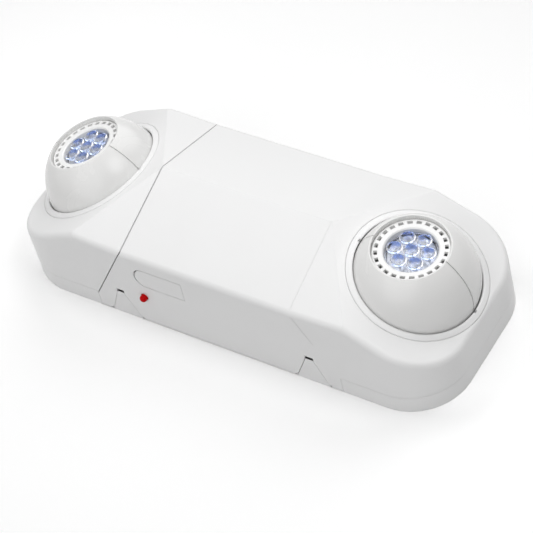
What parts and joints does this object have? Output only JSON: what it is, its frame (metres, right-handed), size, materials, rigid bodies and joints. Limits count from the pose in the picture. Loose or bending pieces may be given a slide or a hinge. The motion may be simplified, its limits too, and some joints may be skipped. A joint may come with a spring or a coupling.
{
  "type": "emergency exit light",
  "caption": "Twin-head emergency light: a faceted plastic housing with a swivelling spherical lamp head at each end, a test tab and a red status light.",
  "frame": {"origin": "centre of the flat back face, which lies on the floor here and against the wall in use", "axes": "+X along the unit, +Z out of the wall, -Y the side with the test tab and status light"},
  "size_m": [0.3358, 0.1341, 0.0897],
  "materials": {
    "housing_white": "satin moulded",
    "lamp_white": "matt",
    "clear_optic": "clear",
    "board_green": "solder mask",
    "ceramic": "glazed",
    "brass": "plain",
    "steel": "zinc plated",
    "battery_wrap": "shrink wrap",
    "winding_tape": "tape",
    "black_plastic": "moulded",
    "red_lens": "tinted clear",
    "wire_red": "insulation",
    "wire_black": "insulation"
  },
  "bodies": {
    "housing": {"back_housing": "housing_white", "main_cover": "housing_white", "left_end_cover": "housing_white", "cover_screws": "steel", "battery_pack": "battery_wrap", "battery_strap": "steel", "strap_screws": "steel", "transformer_core": "steel", "transformer_coil": "winding_tape", "transformer_strap": "steel", "charger_board": "board_green", "board_relay": "black_plastic", "board_capacitors": "black_plastic", "test_switch": "black_plastic", "status_light": "red_lens", "light_spacer": "black_plastic", "terminal_block": "black_plastic", "terminal_screws": "steel", "battery_leads": "wire_red", "supply_leads": "wire_black"},
    "test_tab": {"test_tab": "housing_white"},
    "right_collar": {"right_collar": "housing_white"},
    "right_head": {"right_front_shell": "housing_white", "right_rear_shell": "housing_white", "right_lamp": "lamp_white", "right_lens_cluster": "clear_optic", "right_emitter_board": "board_green", "right_lamp_holder": "ceramic", "right_lamp_pins": "brass", "right_head_leads": "wire_black"},
    "left_collar": {"left_collar": "housing_white"},
    "left_head": {"left_front_shell": "housing_white", "left_rear_shell": "housing_white", "left_lamp": "lamp_white", "left_lens_cluster": "clear_optic", "left_emitter_board": "board_green", "left_lamp_holder": "ceramic", "left_lamp_pins": "brass", "left_head_leads": "wire_black"}
  },
  "joints": [
    {"name": "test_press", "type": "hinge", "parent": "housing", "child": "test_tab", "pos_m": [-0.02, -0.0625, 0.044], "axis": [0, -0.042, -0.9991], "range_deg": [0, 1.5], "stiffness_Nm_per_rad": 3},
    {"name": "right_swivel", "type": "hinge", "parent": "housing", "child": "right_collar", "pos_m": [0.124, 0, 0.05681], "axis": [0.4111, 0, 0.9116], "range_deg": [-170, 170]},
    {"name": "right_tilt", "type": "hinge", "parent": "right_collar", "child": "right_head", "pos_m": [0.12129, 0, 0.05079], "axis": [0, 1, 0], "range_deg": [-12, 55]},
    {"name": "left_swivel", "type": "hinge", "parent": "housing", "child": "left_collar", "pos_m": [-0.124, 0, 0.05681], "axis": [-0.4111, 0, 0.9116], "range_deg": [-170, 170]},
    {"name": "left_tilt", "type": "hinge", "parent": "left_collar", "child": "left_head", "pos_m": [-0.12129, 0, 0.05079], "axis": [0, 1, 0], "range_deg": [-42, 26]}
  ]
}
